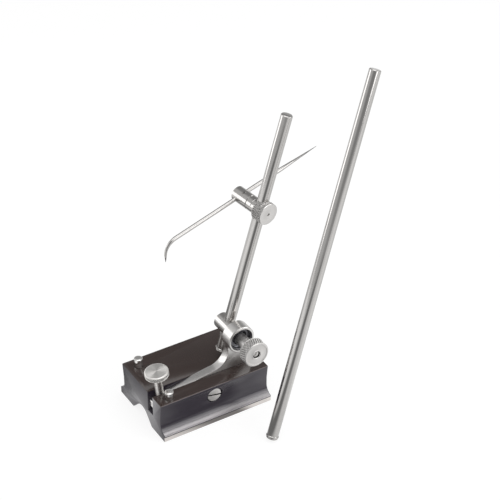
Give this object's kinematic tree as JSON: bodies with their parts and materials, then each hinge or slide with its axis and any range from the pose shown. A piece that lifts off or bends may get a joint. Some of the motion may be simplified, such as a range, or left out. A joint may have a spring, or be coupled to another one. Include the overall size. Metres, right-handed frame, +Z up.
{
  "type": "surface gauge",
  "caption": "Surface gauge: a grooved steel base with a rocking bracket, a swivelling spindle, a sliding scriber clamp with a bent scriber, and a longer spare spindle.",
  "frame": {"origin": "centre of the base's footprint, on the plane that the base rests on", "axes": "+X along the base towards the spindle, +Y to the side away from the clamp knob, +Z up"},
  "size_m": [0.1934, 0.1206, 0.2842],
  "materials": {
    "blackened_steel": "ground, black oxide",
    "polished_steel": "polished",
    "turned_steel": "turned and knurled, nickel plated",
    "ground_steel": "ground",
    "hard_steel": "hardened and ground",
    "spring_steel": "drawn spring steel",
    "dark_steel": "black, glossy"
  },
  "bodies": {
    "base": {"base": "blackened_steel", "pivot_screw": "turned_steel", "lifting_spring": "spring_steel", "spare_spindle": "ground_steel", "spare_stop_ring": "ground_steel"},
    "rocking_bracket": {"rocking_bracket": "polished_steel"},
    "thrust_ball": {"thrust_ball": "hard_steel"},
    "adjusting_screw": {"adjusting_screw": "turned_steel"},
    "gauge_pin_far": {"gauge_pin_far": "hard_steel", "bow_spring_far": "spring_steel"},
    "gauge_pin_near": {"gauge_pin_near": "hard_steel", "bow_spring_near": "spring_steel"},
    "swivel": {"swivel_sleeve": "polished_steel", "swivel_bolt": "turned_steel", "sleeve_key": "dark_steel", "dished_washer": "dark_steel"},
    "clamp_knob": {"clamp_knob": "turned_steel"},
    "stop_ring": {"spindle_stop_ring": "ground_steel"},
    "spindle": {"spindle": "ground_steel"},
    "scriber_clamp": {"spindle_eye": "turned_steel", "clamp_saddle": "turned_steel", "friction_collar": "polished_steel", "thrust_pin": "spring_steel"},
    "clamp_nut": {"clamp_nut": "turned_steel"},
    "scriber_holder": {"scriber_holder": "turned_steel", "holder_pin": "dark_steel"},
    "scriber": {"scriber": "hard_steel"}
  },
  "joints": [
    {"name": "rock", "type": "hinge", "parent": "base", "child": "rocking_bracket", "pos_m": [0.0003, 0, 0.0228], "axis": [0, 1, 0], "range_deg": [-2.5, 2.5], "deforming": ["lifting_spring"]},
    {"name": "ball_travel", "type": "slide", "parent": "rocking_bracket", "child": "thrust_ball", "axis": [0.1045, 0, -0.9945], "range_m": [-0.0018, 0.0018]},
    {"name": "screw_turn", "type": "hinge", "parent": "thrust_ball", "child": "adjusting_screw", "pos_m": [-0.0429, -0.0144, 0.0542], "axis": [0.1045, 0, -0.9945], "range_deg": [-630, 630]},
    {"name": "far_pin_travel", "type": "slide", "parent": "base", "child": "gauge_pin_far", "axis": [0, 0, -1], "range_m": [0, 0.0054]},
    {"name": "near_pin_travel", "type": "slide", "parent": "base", "child": "gauge_pin_near", "axis": [0, 0, -1], "range_m": [-0.0015, 0.0039]},
    {"name": "spindle_swivel", "type": "hinge", "parent": "rocking_bracket", "child": "swivel", "pos_m": [0.0311, 0, 0.06], "axis": [0, -1, 0], "range_deg": [-30, 60]},
    {"name": "knob_turn", "type": "hinge", "parent": "swivel", "child": "clamp_knob", "pos_m": [0.0311, -0.04, 0.06], "axis": [0, -1, 0], "range_deg": [0, 540]},
    {"name": "spindle_slide", "type": "slide", "parent": "swivel", "child": "stop_ring", "axis": [0.2877, 0, 0.9577], "range_m": [-0.002, 0.011]},
    {"name": "spindle_turn", "type": "hinge", "parent": "stop_ring", "child": "spindle", "pos_m": [0.0311, -0.0004, 0.06], "axis": [0.2877, 0, 0.9577], "range_deg": [-85, 75]},
    {"name": "clamp_slide", "type": "slide", "parent": "spindle", "child": "scriber_clamp", "axis": [0.2877, 0, 0.9577], "range_m": [-0.03, 0.07]},
    {"name": "nut_turn", "type": "hinge", "parent": "scriber_clamp", "child": "clamp_nut", "pos_m": [0.0618, -0.0004, 0.16219], "axis": [0.1498, -0.9877, -0.045], "range_deg": [0, 360]},
    {"name": "holder_turn", "type": "hinge", "parent": "scriber_clamp", "child": "scriber_holder", "pos_m": [0.0618, -0.0004, 0.16219], "axis": [0.1498, -0.9877, -0.045], "continuous": true},
    {"name": "scriber_slide", "type": "slide", "parent": "scriber_holder", "child": "scriber", "axis": [0.9722, 0.1389, 0.1885], "range_m": [-0.03, 0.05]}
  ],
  "couplings": [
    {"joint": "ball_travel", "follows": "rock", "m_per_rad": 0.039454},
    {"joint": "screw_turn", "follows": "rock", "ratio": 247.9}
  ]
}
